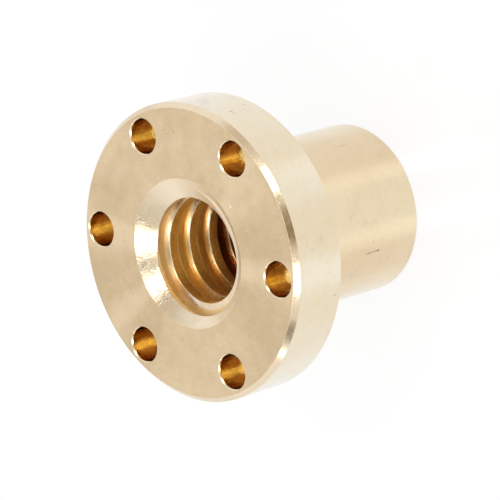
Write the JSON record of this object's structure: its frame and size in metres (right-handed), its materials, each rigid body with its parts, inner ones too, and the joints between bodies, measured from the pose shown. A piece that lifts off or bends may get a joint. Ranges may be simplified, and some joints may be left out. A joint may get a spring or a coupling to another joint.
{
  "type": "lead screw nut",
  "caption": "Round flanged lead screw nut with a barrel, a countersunk mouth, a right-hand trapezoidal thread through it and plain bolt holes round the flange.",
  "frame": {"origin": "on the nut's axis, at the end face of the barrel, on which the nut stands", "axes": "+Z along the axis, out of the flange's front face; +X towards the middle of one bolt hole; +Y completes the right-handed frame"},
  "size_m": [0.0544, 0.0544, 0.0437],
  "materials": {
    "bearing_brass": "satin, as turned, with faint tool rings and a few small pits"
  },
  "bodies": {
    "root": {"flanged_nut": "bearing_brass"}
  },
  "joints": []
}
